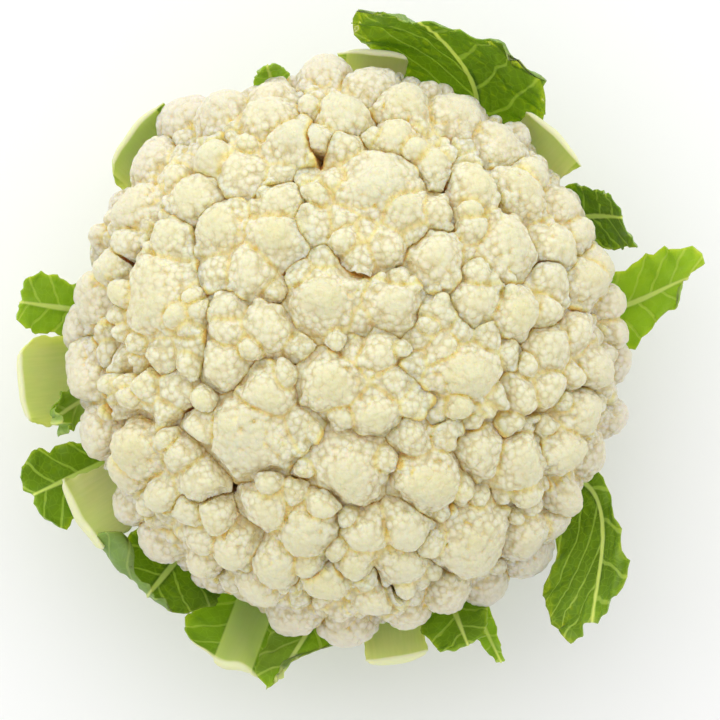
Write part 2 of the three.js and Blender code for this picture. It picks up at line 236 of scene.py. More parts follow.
def ball_of_triangles(detail):
    """Unit directions and triangles of an icosahedron whose edges are halved detail times."""
    golden = (1 + math.sqrt(5)) / 2
    points = unit(np.array([
        [-1, golden, 0], [1, golden, 0], [-1, -golden, 0], [1, -golden, 0],
        [0, -1, golden], [0, 1, golden], [0, -1, -golden], [0, 1, -golden],
        [golden, 0, -1], [golden, 0, 1], [-golden, 0, -1], [-golden, 0, 1],
    ]))
    triangles = np.array([
        [0, 11, 5], [0, 5, 1], [0, 1, 7], [0, 7, 10], [0, 10, 11],
        [1, 5, 9], [5, 11, 4], [11, 10, 2], [10, 7, 6], [7, 1, 8],
        [3, 9, 4], [3, 4, 2], [3, 2, 6], [3, 6, 8], [3, 8, 9],
        [4, 9, 5], [2, 4, 11], [6, 2, 10], [8, 6, 7], [9, 8, 1],
    ])
    for _ in range(detail):
        triangles, pairs = split_edges(triangles, len(points), lambda edges: np.ones(len(edges), bool))
        points = np.concatenate([points, unit(points[pairs].sum(1))])
    return points, triangles


def smoothed(values, edges, rounds):
    """The values of a mesh's vertices, averaged with their neighbours' so many times."""
    count = len(values)
    ends = np.concatenate([edges, edges[:, ::-1]])
    share = np.bincount(ends[:, 0], minlength=count)[:, None]
    for _ in range(rounds):
        around = np.stack([np.bincount(ends[:, 0], column[ends[:, 1]], count) for column in values.T], 1)
        values = 0.5 * values + 0.5 * around / share
    return values


def linked(name, data):
    made = bpy.data.objects.new(name, data)
    bpy.context.scene.collection.objects.link(made)
    return made


def mesh_piece(name, points, faces, material, attributes):
    """A mesh piece from points in mm, smooth shaded, which stands for the CAD node of the same name."""
    mesh = bpy.data.meshes.new(name)
    mesh.vertices.add(len(points))
    mesh.vertices.foreach_set("co", (points * MM).astype(np.float32).ravel())
    mesh.loops.add(faces.size)
    mesh.loops.foreach_set("vertex_index", faces.astype(np.int32).ravel())
    mesh.polygons.add(len(faces))
    mesh.polygons.foreach_set("loop_start", np.arange(0, faces.size, faces.shape[1], dtype=np.int32))
    mesh.update(calc_edges=True)
    mesh.validate()
    mesh.polygons.foreach_set("use_smooth", np.ones(len(mesh.polygons), bool))
    for key, values in attributes.items():
        data = mesh.attributes.new(key, "FLOAT", "POINT").data
        data.foreach_set("value", values.astype(np.float32).ravel())
    mesh.materials.append(material)
    piece = linked(name + "_skin", mesh)
    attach(piece, "root")
    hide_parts(name)


# ---- Florets ----


def lobe_centre(x, y, radius, deeper=0):
    """A lobe's ball touches the dome from inside, less how deep it is set."""
    share = (x / (DOME[0] - radius)) ** 2 + (y / (DOME[1] - radius)) ** 2
    return [x, y, WIDEST + (DOME[2] - radius) * math.sqrt(max(0, 1 - share)) - deeper]


class Floret:
    """A branch: its lobes, the way it grows, its centre and how much of the head it takes."""

    def __init__(self, name, lobes):
        centres = np.array([lobe_centre(*lobe) for lobe in lobes])
        self.name = name
        self.radii = np.array([float(lobe[2]) for lobe in lobes])
        arms = centres - CORE
        self.axis = unit((unit(arms) * self.radii[:, None] ** 2).sum(0))
        aside = lengths(arms - (arms @ self.axis)[:, None] * self.axis)
        fall = np.minimum(FALL_OFF * aside**2, MOST_FALL) * ease(*RIM, lengths(centres[:, :2]))
        sunk = SUNK * np.maximum(SUNK_BELOW - self.radii, 0) + fall
        self.centres = centres - unit(arms) * sunk[:, None]
        self.weight = 1 / math.cos(math.sqrt(((self.radii / lengths(arms)) ** 2).sum()))
        self.centre = CORE + self.axis * (arms @ self.axis).max() * CENTRE_SHARE

    def add_lobe(self, centre, radius):
        self.centres = np.vstack([self.centres, centre])
        self.radii = np.append(self.radii, radius)

    def off_lobes(self, points):
        """How far points lie outside each lobe, or less than 0 inside one."""
        return lengths(points[:, None, :] - self.centres) - self.radii

    def nearness(self, points):
        return self.off_lobes(points).min(1)

    def between_lobes(self, points):
        """How much nearer points lie to one lobe than to the next one."""
        nearest = np.partition(self.off_lobes(points), 1, axis=1)
        return nearest[:, 1] - nearest[:, 0]


class Drift:
    """Smooth random shifts of points, made of waves that cross each other."""

    def __init__(self, rng, waves, length, size):
        self.waves = unit(rng.normal(size=(waves, 3))) * 2 * math.pi / rng.uniform(*length, (waves, 1))
        self.phases = rng.uniform(0, 2 * math.pi, (waves, 3))
        self.size = size * math.sqrt(2 / waves)

    def shifted(self, points):
        return points + self.size * np.sin((points @ self.waves.T)[..., None] + self.phases).sum(-2)


def body_points(kind, rng):
    """Points all over the body above the bare branches, in no particular order, and the ways out of it."""
    number = np.arange(kind["tried"])
    height = 1 - (number + 0.5) / kind["tried"] * BODY_TURN
    out = placed(np.sqrt(1 - height**2), number * GOLDEN_ANGLE, height)
    points = out * np.where(height[:, None] > 0, BODY, [BODY[0], BODY[1], BODY_FALL]) + [0, 0, WIDEST]
    points = points + rng.normal(0, kind["jitter"], points.shape)
    order = rng.permutation(np.nonzero(points[:, 2] > CURD_EDGE)[0])
    return points[order], out[order]


def add_skirt(florets):
    """Lobes under the head's rim, each on the floret that it lies under."""
    bearing = 2 * math.pi * np.arange(SKIRT["count"]) / SKIRT["count"]
    centres = placed(1, bearing, 0 * bearing + SKIRT["z"]) * [*(DOME[:2] - SKIRT["in"]), 1]
    axes = np.stack([floret.axis * floret.weight for floret in florets])
    for centre, owner in zip(centres, np.argmax((centres - CORE) @ axes.T, 1)):
        florets[owner].add_lobe(centre, SKIRT["radius"])


def add_small_lobes(florets, rng):
    """Small lobes in the valleys between the others."""
    for point, out in zip(*body_points(SMALL_LOBES, rng)):
        near = [floret.nearness(point[None])[0] for floret in florets]
        if min(near) < SMALL_LOBES["clear"]:
            continue
        radius = rng.uniform(*SMALL_LOBES["radius"])
        centre = point - out * radius * rng.uniform(*SMALL_LOBES["sunk"])
        florets[int(np.argmin(near))].add_lobe(centre, radius)


def spiral(axis, spacing, radius, rng):
    """Directions round an axis in a golden-angle spiral, how far each lies from its neighbours, and how far
    out in the spiral it is, from 0 to 1. The spacing is given at the axis and at the edge."""
    polar = np.linspace(0, KNOB_REACH, 240)
    apart = spacing[0] + (spacing[1] - spacing[0]) * (polar / KNOB_REACH) ** 0.8
    density = 2 * math.pi * np.sin(polar) * radius**2 / (PACKING * apart**2)
    total = np.cumsum(density) * (polar[1] - polar[0])
    count = max(3, int(total[-1]))
    number = np.arange(count)
    spread = np.interp(number + 0.5, total, polar)
    apart = np.interp(spread, polar, apart)
    spread = spread + rng.normal(0, 0.12, count) * apart / radius
    turn = number * GOLDEN_ANGLE + rng.uniform(0, 2 * math.pi) + rng.normal(0, 0.06, count)
    side = unit(np.cross(axis, [0.31, 0.22, 0.92] if abs(axis[2]) < 0.9 else [1.0, 0.2, 0.1]))
    up = np.cross(axis, side)
    ring = np.cos(turn)[:, None] * side + np.sin(turn)[:, None] * up
    out = np.cos(spread)[:, None] * axis + np.sin(spread)[:, None] * ring
    return out, apart * rng.uniform(0.85, 1.2, count), spread / KNOB_REACH


def knobs_of(floret, fill, rng):
    """The centres and radii of the knobs on a floret's lobes, and of those between them."""
    centres, radii = [fill[0]], [fill[1]]
    for centre, radius in zip(floret.centres, floret.radii):
        scale = min(1.0, radius / WHOLE_SPACING)
        spacing = [whole * max(scale, least) for whole, least in zip(KNOB_SPACING, SMALL_SPACING)]
        out, apart, share = spiral(unit(centre - CORE), spacing, radius, rng)
        stand = rng.normal(0, KNOB_JITTER, len(share)) * scale * share
        seen = floret.nearness(centre + out * radius) > -KNOB_OVERLAP
        out, apart, share, stand = out[seen], apart[seen], share[seen], stand[seen]
        size = apart * np.interp(share, FLANK, KNOB_ROUND)
        centres.append(centre + out * (radius - size + stand)[:, None])
        radii.append(size)
    return np.concatenate(centres), np.concatenate(radii)


def grown_florets(rng):
    """All florets with their lobes and knobs."""
    florets = [Floret(name, lobes) for name, lobes in FLORETS.items()]
    add_skirt(florets)
    add_small_lobes(florets, rng)
    fill, out = body_points(FILL, rng)
    radii = rng.uniform(*FILL["radius"], len(fill))
    fill = fill - out * (radii * rng.uniform(*FILL["sunk"], len(fill)))[:, None]
    owners = np.argmin([floret.nearness(fill) for floret in florets], 0)
    for number, floret in enumerate(florets):
        mine = owners == number
        floret.knobs = knobs_of(floret, (fill[mine], radii[mine]), rng)
    return florets


def exits(start, directions, centres, radii):
    """How far each ray runs until it leaves the last ball it meets, or 0 if it meets none."""
    arms = centres - start
    along = directions @ arms.T
    inside = radii**2 - (arms**2).sum(1) + along**2
    return np.where(inside > 0, along + np.sqrt(np.maximum(inside, 0)), 0).max(1)


def body_exit(start, directions):
    """The same for the body: half an ellipsoid above the widest level, and a flatter one below it."""
    found = []
    for height in (BODY[2], BODY_FALL):
        sizes = np.array([BODY[0], BODY[1], height])
        from_middle = (start - [0, 0, WIDEST]) / sizes
        rays = directions / sizes
        stretch = lengths(rays)
        along = -(rays @ from_middle) / stretch
        inside = 1 - from_middle @ from_middle + along**2
        found.append((along + np.sqrt(np.maximum(inside, 0))) / stretch)
    return np.where(start[2] + found[0] * directions[:, 2] > WIDEST, *found)


def soft_least(a, b, width):
    """The lesser of the two, rounded where they cross."""
    apart = np.clip(0.5 + 0.5 * (a - b) / width, 0, 1)
    return a * (1 - apart) + b * apart - width * apart * (1 - apart)


def cleft_depth(points):
    """How deep the listed clefts are at points of the head."""
    depth = np.zeros(len(points))
    for deepest, half_width, line in CLEFTS:
        line = np.array(line, float)
        off = np.full(len(points), FAR)
        for start, end in zip(line, line[1:]):
            share = np.clip((points[:, :2] - start) @ (end - start) / ((end - start) ** 2).sum(), 0, 1)
            off = np.minimum(off, lengths(points[:, :2] - start - share[:, None] * (end - start)))
        depth = np.maximum(depth, deepest * ease(half_width * 1.6, half_width * 0.4, off))
    return depth


def tree_of(points):
    tree = KDTree(len(points))
    for number, point in enumerate(points):
        tree.insert(point, number)
    tree.balance()
    return tree


def crossing(inside, rays, low, high, rounds):
    """Where rays get out, which is where inside(rays, along) falls below 0, by halving the way."""
    for _ in range(rounds):
        middle = (low + high) / 2
        out = inside(rays, middle) < 0
        low, high = np.where(out, low, middle), np.where(out, middle, high)
    return low


class Skin:
    """The skin of a floret, found along rays from its centre."""

    def __init__(self, floret, florets, drift):
        others = [other for other in florets if other is not floret]
        self.near = [other for other in others if other.axis @ floret.axis > NEIGHBOUR]
        self.floret = floret
        self.drift = drift
        self.own_knobs = tree_of(floret.knobs[0])
        self.other_knobs = tree_of(np.concatenate([other.knobs[0] for other in self.near]))

    def points(self, rays, along):
        return self.floret.centre + rays * along[:, None]

    def drifted(self, rays, along):
        return self.drift.shifted(self.points(rays, along))

    def inside_by(self, rays, along):
        """How much nearer to the floret's own lobes than to another's a point of each ray is."""
        points = self.drifted(rays, along)
        return np.min([other.nearness(points) for other in self.near], 0) - self.floret.nearness(points)

    def inside_knobs_by(self, rays, along):
        """The same, with the border drawn round the knobs on both sides of it."""
        points = self.drifted(rays, along)
        apart = [self.other_knobs.find(point)[2] - self.own_knobs.find(point)[2] for point in points]
        apart = np.clip(apart, -KNOB_EDGE["size"], KNOB_EDGE["size"])
        return self.inside_by(rays, along) + KNOB_EDGE["share"] * apart

    def free_reach(self, rays):
        """How far the skin would lie if no neighbour held it back, and how far it is from a crease."""
        floret = self.floret
        body = body_exit(floret.centre, rays)
        bent = self.drifted(rays, body) - floret.centre
        lobes = exits(floret.centre, unit(bent), floret.centres, floret.radii * LOBE_SHARE)
        lobes = np.maximum(exits(floret.centre, unit(bent), *floret.knobs), lobes)
        fall = CLEFT["depth"] * ease(CLEFT["half_width"], 0, self.inside_by(rays, body))
        reach = np.maximum(body - fall, lobes / (lengths(bent) / body))
        cleft = cleft_depth(self.points(rays, reach))
        reach = reach - cleft * ease(CLEFT["reach"], 0, self.inside_by(rays, reach))
        gap = floret.between_lobes(self.drifted(rays, reach))
        reach = reach - LOBE_CREASE["depth"] * ease(LOBE_CREASE["half_width"], 0, gap)
        foot = lengths(floret.centre - CORE) - CORE_RADIUS
        towards = -(rays @ floret.axis)
        return np.minimum(reach, np.where(towards > 1e-6, foot / np.maximum(towards, 1e-6), FAR)), gap

    def border(self, rays, reach, inside):
        """How far each ray runs to the border with another floret, or FAR where it meets none."""
        border = np.full(len(rays), FAR)
        out = inside < 0
        border[out] = crossing(self.inside_by, rays[out], 0 * reach[out], reach[out], BORDER_STEPS[0])
        edge = np.minimum(border, reach)
        near = (edge > reach - KNOB_EDGE["near"]) & (inside < KNOB_EDGE["size"] * KNOB_EDGE["share"])
        low, high = edge[near] - KNOB_EDGE["size"], edge[near] + KNOB_EDGE["size"]
        border[near] = crossing(self.inside_knobs_by, rays[near], low, high, BORDER_STEPS[1])
        return border

    def reach(self, rays):
        """How far the skin lies from the centre, and how far inside the nearest border or crease it would
        lie if no neighbour held it back. Beyond a border that is less than 0."""
        reach, gap = self.free_reach(rays)
        inside = self.inside_by(rays, reach)
        border = self.border(rays, reach, inside) + PRESS
        bare = ease(CURD_EDGE, CURD_EDGE - BARE["fade"], self.points(rays, reach)[:, 2])
        rounding = CLEFT["rounding"] + BARE["rounding"] * bare
        return soft_least(reach, border, rounding), np.minimum(inside, gap)


def floret_mesh(skin):
    """A floret's points, its triangles, finest where the skin is open, and how far inside the points are."""
    rays, triangles = ball_of_triangles(HALVINGS[0])
    reach, inside = skin.reach(rays)
    for _ in range(HALVINGS[1]):
        points = skin.points(rays, reach)

        def too_long(edges):
            length = lengths(points[edges[:, 0]] - points[edges[:, 1]])
            low = points[edges].mean(1)[:, 2] < CURD_EDGE
            stands_out = lengths(smoothed(points, edges, 1) - points) * 2
            rough = np.maximum(*stands_out[edges.T]) / length
            longest = np.interp(rough, ROUGH[::-1], EDGE_LENGTH[::-1])
            return (inside[edges] > -HIDDEN).any(1) & (length > np.where(low, LOW_EDGE_LENGTH, longest))

        triangles, pairs = split_edges(triangles, len(points), too_long)
        if not len(pairs):
            break
        added = unit(rays[pairs].sum(1))
        found = zip((rays, reach, inside), (added, *skin.reach(added)))
        rays, reach, inside = map(np.concatenate, found)
    return skin.points(rays, reach), triangles, inside


def curd():
    rng = np.random.default_rng(SEED)
    drift = Drift(rng, **DRIFT)
    florets = grown_florets(rng)
    material = curd_material()
    for floret in florets:
        points, triangles, inside = floret_mesh(Skin(floret, florets, drift))
        edges, _ = edges_of(triangles)
        points = smoothed(points, edges, 1)
        brink = ease(BRINK["inside"], 0, inside) * ease(*BRINK["beyond"], inside)
        points = points + brink[:, None] * (smoothed(points, edges, BRINK["rounds"]) - points)
        hollow = (smoothed(points, edges, HOLLOW_ROUNDS) - points) * unit(points - CORE)
        # hollow, depth and seam steer where the curd's colour paints shade and a warm glow.
        attributes = {
            "hollow": hollow.sum(1),
            "depth": (1 - lengths((points - [0, 0, WIDEST]) / DOME)) * DOME_SIZE,
            "seam": ease(SEAM_WIDTH, 0, inside) + ease(0, -WALL_FROM, inside),
        }
        mesh_piece("floret_" + floret.name, points, triangles, material, attributes)


# ---- Leaves ----

# A leaf's path, as distance from the axis and height: from the stem, under the head and up beside it, to
# the leaf's own end.
WHORLS = {
    "inner": [[22, 32], [56, 37], [83, 38]],
    "middle": [[24.6, 21.5], [56, 28], [86, 32]],
    "outer": [[25.5, 11], [58, 19], [89, 25]],
}
STALK = 7.5  # how thick a leaf's stalk is at the stem
BLADE = 0.7  # how thick the blade is
BELLY = 3.5  # how much wider, on each side, a leaf is midway
LEAST_HALF = 0.5  # how narrow half a leaf may get
THICK = 2.2  # a leaf thicker than this at its end was cut through its stalk
TEAR = (0.003, 0.02)  # the share torn off a cut and a thin leaf's length, for each mm of "ragged"
PUCKER = 0.7  # how far a thin leaf's blade rises and sinks between its veins
RIB_TAPER = 0.6  # how much narrower a thin leaf's rib is at its end
GROOVE = {"stalk": 2.5, "depth": 0.16, "turn": 1.7}  # lines along stalks thicker than this
EDGE_TAPER = 0.55  # how much thinner a leaf is at its edges
END_TAPER = 0.4  # and at its end
U = np.linspace(0, 1, 64)[:, None]  # the share of a leaf's length, at each row of its vertices
V = np.linspace(-1, 1, 34)[None, :]  # and of its half width, from right to left


def wander(places, wavelengths, rng):
    """A smooth random line along places in mm, between about -1 and 1."""
    phases = rng.uniform(0, 2 * math.pi, len(wavelengths))
    waves = [np.sin(2 * math.pi * places / each + phase) for each, phase in zip(wavelengths, phases)]
    return sum(waves) / len(phases)


@dataclass
class Leaf:
    """A leaf is a bent sheet that is made thick. Left and right are as seen from the stem."""

    whorl: str
    bearing: float  # in degrees, like bend and sway
    end: list
    foot: float  # half its width where it leaves the stem
    margins: list  # shares of its length, and how wide it is there to the left and to the right
    tone: float = 0.8  # of the blade, from dark to bright
    ragged: float = 0.3  # how far its edges wander
    ruffle: float = 0.3  # and how far they wave
    thick: float = 1.4  # at its end
    rib: float = 0.8  # half the width of the stalk or midrib at its end
    green: float = 0.5  # the share of its length where the blade starts
    skew: float = 0  # makes the left side (above 0) or the right side longer
    curl: float = 0  # turns its end in over the head, in radians
    bend: float = 0  # turns its end about the stem
    sway: float = 0  # turns its middle about the stem

    @property
    def thin(self):
        return self.thick < THICK

    def path(self, share):
        """The direction in which the sheet runs, as an angle above level, and how long a step is."""
        a, b, c, d = (np.array(point, float) for point in WHORLS[self.whorl] + [self.end])
        share = share[..., None]
        along = 3 * ((1 - share) ** 2 * (b - a) + 2 * share * (1 - share) * (c - b) + share**2 * (d - c))
        return np.arctan2(along[..., 1], along[..., 0]), lengths(along)

    def side_view(self, rng):
        """The sheet's distance from the axis, its height, its direction and how far along it is."""
        share = U * (1 - abs(self.skew) * (1 - math.copysign(1, self.skew) * V) / 2)
        torn = wander(V * sum(self.margins[-1][1:]) / 2, (8, 13, 27), rng) * self.ragged * TEAR[self.thin]
        share = share * (1 - ease(0.75, 1, U) * np.abs(torn))
        heading, step = self.path(share)
        uneven = 1 + 0.25 * wander(V * 20, (17, 29), rng)
        heading = heading + self.curl * ease(0.86, 1.04, share) * uneven
        run = step * np.gradient(share, axis=0)
        start = WHORLS[self.whorl][0]
        radius = start[0] + np.cumsum(run * np.cos(heading), 0)
        height = start[1] + np.cumsum(run * np.sin(heading), 0)
        return radius, height, heading, np.cumsum(run, 0)

    def across(self, along, rng):
        """How far points of the sheet lie to the left of its middle, with ragged edges."""
        shares, left, right = np.array([[0, self.foot, self.foot], *self.margins], float).T
        belly = BELLY * np.sin(math.pi * np.minimum(U / 0.8, 1)) ** 2
        edge = ease(0.5, 0.9, U) * self.ragged
        left = np.interp(U, shares, left) + belly + edge * wander(along[:, :1], (5.7, 9.1, 19), rng)
        right = np.interp(U, shares, right) + belly + edge * wander(along[:, -1:], (6.3, 10.7, 17), rng)
        return V * np.maximum(np.where(V > 0, left, right), LEAST_HALF)

    def lift(self, along, across, rng):
        """How far the sheet stands out of its path: wavy edges, a wavy end and a puckered blade."""
        ruffle = self.ruffle * ease(0.35, 1, np.abs(V)) * ease(0.4, 0.9, U)
        lift = ruffle * np.where(V > 0, wander(along, (13, 21, 9), rng), wander(along, (12, 23, 8), rng))
        lift = lift + 0.5 * self.ruffle * ease(0.8, 1, U) * wander(across, (11, 17), rng)
        pucker = wander(across + along, (11, 6), rng) * wander(across - along, (10, 7), rng)
        return lift - self.thin * PUCKER * self.blade() * pucker

    def blade(self):
        return ease(self.green, self.green + 0.25, U)

    def turn(self, across, radius):
        """The bearings of points of the sheet."""
        turn = math.radians(self.bearing) + across / np.maximum(radius, 12)
        turn = turn + math.radians(self.bend) * ease(0.6, 1.1, U)
        return turn + math.radians(self.sway) * ease(0.2, 0.7, U) * ease(1.05, 0.7, U)

    def thickness(self, along, across, rib, rng):
        """A grooved stalk and midrib, and a blade that is thinner at its edges."""
        thick = STALK + (self.thick - STALK) * U**0.8
        inside_rib = np.clip(1 - (across / rib) ** 2, 0, 1)
        turn = across * GROOVE["turn"] + 0.6 * wander(along, (40, 60), rng)
        grooves = GROOVE["depth"] * np.sin(turn) * ease(0, 0.3, inside_rib) * ease(1, 0.85, U)
        through = BLADE + (thick - BLADE) * np.sqrt(inside_rib) + grooves * (thick > GROOVE["stalk"])
        through = through * (1 - EDGE_TAPER * ease(0.85, 1, np.abs(V)))
        return through * (1 - END_TAPER * ease(0.97, 1, U))

    def mesh(self, name, material, rng):
        radius, height, heading, along = self.side_view(rng)
        across = self.across(along, rng)
        lift = self.lift(along, across, rng)
        turn = self.turn(across, radius)
        inner = placed(radius + lift * np.sin(heading), turn, height - lift * np.cos(heading))

        rib = self.foot + (self.rib - self.foot) * ease(0, 0.7, U)
        rib = rib * (1 - self.thin * RIB_TAPER * ease(0.8, 1, U))
        outer = inner + outward(inner) * self.thickness(along, across, rib, rng)[..., None]

        cut = ease(0.985, 1, U) * (not self.thin)
        sheet = {"blade": self.blade(), "cut": cut, "across": across, "along": along, "rib": rib}
        sheet.update(tone=self.tone, back=[[[0]], [[1]]])
        attributes = {key: np.broadcast_to(values, (2, *across.shape)) for key, values in sheet.items()}
        points = np.stack([inner, outer]).reshape(-1, 3)
        mesh_piece("leaf_" + name, points, sheet_faces(*across.shape), material, attributes)


def outward(sheet):
    """Directions out of a leaf's sheet, evened out across it but for its edges."""
    out = np.cross(np.gradient(sheet, axis=1), np.gradient(sheet, axis=0))
    around = sum(np.roll(out, shift, 1) for shift in (-2, -1, 0, 1, 2))
    return unit(around * (np.abs(V) < 0.9)[..., None] + out * 1e-3)


def sheet_faces(rows, columns):
    """The faces of a thick sheet whose outer vertices come after the inner ones."""
    count = rows * columns
    number = np.arange(count).reshape(rows, columns)
    quads = np.stack([number[:-1, :-1], number[1:, :-1], number[1:, 1:], number[:-1, 1:]], -1)
    quads = quads.reshape(-1, 4)
    rim = np.concatenate([number[0, :-1], number[:-1, -1], number[-1, :0:-1], number[:0:-1, 0]])
    following = np.roll(rim, -1)
    sides = np.stack([rim, following, following + count, rim + count], 1)
    return np.concatenate([quads, quads[:, ::-1] + count, sides])


LEAVES = {
    "right": Leaf("middle", 8, [112, 75], 8,
        [[0.55, 9, 10], [0.7, 11, 17], [0.8, 13, 15], [0.9, 13, 10], [0.96, 10, 7], [1, 4, 2]],
        thick=1.6, tone=1.0, skew=0.1, ragged=1.6, ruffle=2.4, bend=4),
    "right_back": Leaf("outer", 30, [93, 71], 9, [[0.5, 9, 9], [0.8, 12, 12], [1, 8, 10]],
        thick=1.6, green=0.35, tone=0.15, ragged=0.9, ruffle=1.2, bend=-5),
    "back_right_stub": Leaf("inner", 46, [91, 67], 7, [[0.6, 9, 9], [1, 11, 13]],
        thick=2.8, rib=11, green=0.8, tone=0.7),
    "back_right": Leaf("middle", 69, [106, 79], 9,
        [[0.45, 12, 12], [0.7, 33, 13], [0.85, 33, 33], [0.95, 25, 38], [1, 15, 32]],
        thick=1.7, rib=0.9, green=0.35, tone=0.3, ragged=1.6, ruffle=2.6, curl=0.6, bend=10, sway=-8),
    "back_stub": Leaf("inner", 84, [91, 65], 6.8, [[0.6, 9, 9], [1, 13, 9]],
        thick=2.8, rib=10, green=0.8, ragged=0.5),
    "back_tip": Leaf("outer", 106, [90, 69], 9, [[0.6, 7, 7], [0.85, 6, 6], [1, 2.5, 2.5]],
        rib=0.6, green=0.4, ragged=0.8, ruffle=0.8),
    "back_left": Leaf("middle", 136, [95, 67], 9, [[0.6, 11, 11], [0.9, 14, 15], [1, 9, 15]],
        thick=2.6, rib=12, green=0.75, tone=0.45, skew=-0.07, ragged=0.5, ruffle=0.5),
    "left_back_tip": Leaf("inner", 157, [84, 63], 6, [[0.6, 5, 5], [1, 4, 3]],
        thick=2.4, rib=4, green=0.8),
    "left_back": Leaf("middle", 172, [103, 69], 6, [[0.6, 7, 7], [0.85, 9, 9], [0.93, 8, 11], [1, 6, 7]],
        thick=1.5, tone=0.75, skew=0.03, ragged=1.2, ruffle=1.0),
    "left": Leaf("outer", 186, [101, 65], 12, [[0.5, 13, 13], [0.9, 15, 14], [1, 12, 10]],
        thick=2.8, rib=11.5, green=0.88, tone=0.9, ragged=0.7, ruffle=0.4),
    "left_curl": Leaf("inner", 190, [97, 69], 3.2, [[0.6, 4, 4], [0.85, 7, 6], [1, 3, 4]],
        rib=0.6, green=0.6, tone=0.7, ragged=1.4, ruffle=2.4, curl=1.6, bend=5),
    "left_front_blade": Leaf("middle", 205, [109, 63], 4.6,
        [[0.6, 8, 7], [0.85, 13, 11], [0.94, 13, 13], [1, 8, 9]],
        green=0.45, tone=0.3, ragged=1.6, ruffle=2.0),
    "left_front_stub": Leaf("inner", 213, [97, 67], 5.2, [[0.6, 9, 9], [1, 11, 14]],
        thick=4.2, rib=13, green=0.85, tone=0.75, ragged=0.8, ruffle=0.6),
    "front_left_curl": Leaf("middle", 231, [104, 71], 6.6,
        [[0.6, 12, 12], [0.85, 19, 19], [0.95, 12, 24], [1, 5, 20]],
        thick=1.6, rib=0.9, green=0.45, tone=0.3, skew=-0.08, ragged=1.2, ruffle=1.8, curl=2.4),
    "front_left": Leaf("outer", 250, [104, 63], 11,
        [[0.5, 14, 14], [0.85, 17, 19], [0.95, 15, 18], [1, 9, 14]],
        thick=4.4, rib=6.2, green=0.4, tone=0.6, ragged=1.4, ruffle=1.8),
    "front_blade": Leaf("inner", 264, [110, 70], 4.8,
        [[0.6, 12, 9], [0.76, 22, 12], [0.85, 20, 11], [0.9, 8, 10], [0.96, 1.5, 6], [1, 0.5, 3]],
        tone=0.6, skew=-0.1, ragged=1.8, ruffle=1.6, bend=-7),
    "front_stub": Leaf("middle", 279, [97, 61], 8, [[0.6, 8.5, 8.5], [1, 10, 10]],
        thick=4.0, rib=9.5, green=0.9, ruffle=0.2),
    "front_right_tip": Leaf("outer", 296, [107, 69], 8, [[0.5, 6, 6], [0.85, 3.5, 4], [1, 1, 1.4]],
        rib=0.6, green=0.4, tone=0.75, ragged=0.4, ruffle=0.8),
    "front_right_low": Leaf("inner", 292, [98, 71], 4.8, [[0.6, 9, 9], [0.88, 10, 12], [1, 6, 8]],
        tone=0.4, ragged=1.0, ruffle=1.2),
    "front_right": Leaf("middle", 321, [113, 75], 9,
        [[0.5, 12, 12], [0.7, 5, 18], [0.8, 6, 28], [0.9, 12, 21], [0.96, 15, 13], [1, 11, 9]],
        thick=1.8, rib=0.7, green=0.4, tone=0.25, ragged=1.4, ruffle=2.4, bend=-11, sway=10),
}


def leaves():
    rng = np.random.default_rng(SEED + 1)
    material = leaf_material()
    for name, leaf in LEAVES.items():
        leaf.mesh(name, material, rng)


# ---- Stem ----

BUTT = 24.0  # the radius of the cut face
STEM_PROFILE = [  # radius and height
    [0, 0], [BUTT, 0], [25, 1.5], [24.5, 11], [22.5, 20], [20, 29], [16, 35], [17.5, 42], [12, 54.5],
    [0, 59.5],
]
STEM_SIDES = 120
STEM_ROWS = (10, 70)  # across the cut face, and up the side
# The scars of broken-off leaves: the lowest one's height, the step up to the next, and their sizes.
SCARS = {"count": 7, "low": 4, "step": 1.6, "half_width": 9, "half_height": 2.6, "lip": 0.9, "deep": 0.5}


def stem_side():
    """The stem's radius, bearing, height and scars, in rows from the cut face's middle to the top."""
    rng = np.random.default_rng(SEED + 2)
    profile = np.array(STEM_PROFILE, float)
    places = np.concatenate([[0], np.cumsum(lengths(np.diff(profile, axis=0)))])
    face = np.linspace(0, BUTT, STEM_ROWS[0])
    steps = np.concatenate([face, np.linspace(BUTT + 0.3, places[-1], STEM_ROWS[1])])[:, None]
    turn = np.linspace(0, 2 * math.pi, STEM_SIDES, endpoint=False)[None, :]
    radius = np.interp(steps, places, profile[:, 0]) + 0 * turn
    height = np.interp(steps, places, profile[:, 1]) + 0 * turn
    side = ease(1.5, 4, height)
    wave = sum(np.sin(turn * times + phase) for times, phase in zip((2, 3, 5, 8), rng.uniform(0, 6.3, 4)))
    rough = 0.35 * wave + 0.15 * np.sin(turn * 40 + height * 0.1)
    radius = radius + rough * np.minimum(radius / BUTT, 1) * (height > 0)
    scar = np.zeros(radius.shape)
    for number in range(SCARS["count"]):
        apart = (turn - (number * GOLDEN_ANGLE * 2 + 0.3) + math.pi) % (2 * math.pi) - math.pi
        above = height - (SCARS["low"] + SCARS["step"] * number)
        form = (apart * BUTT / SCARS["half_width"]) ** 2 + (above / SCARS["half_height"]) ** 2
        scar = np.maximum(scar, ease(1.25, 0.9, form))
        lip = SCARS["lip"] * np.exp(-(((form - 1.1) / 0.35) ** 2))
        radius = radius + side * (lip - SCARS["deep"] * ease(1, 0.7, form))
    return radius, turn, height, scar * side


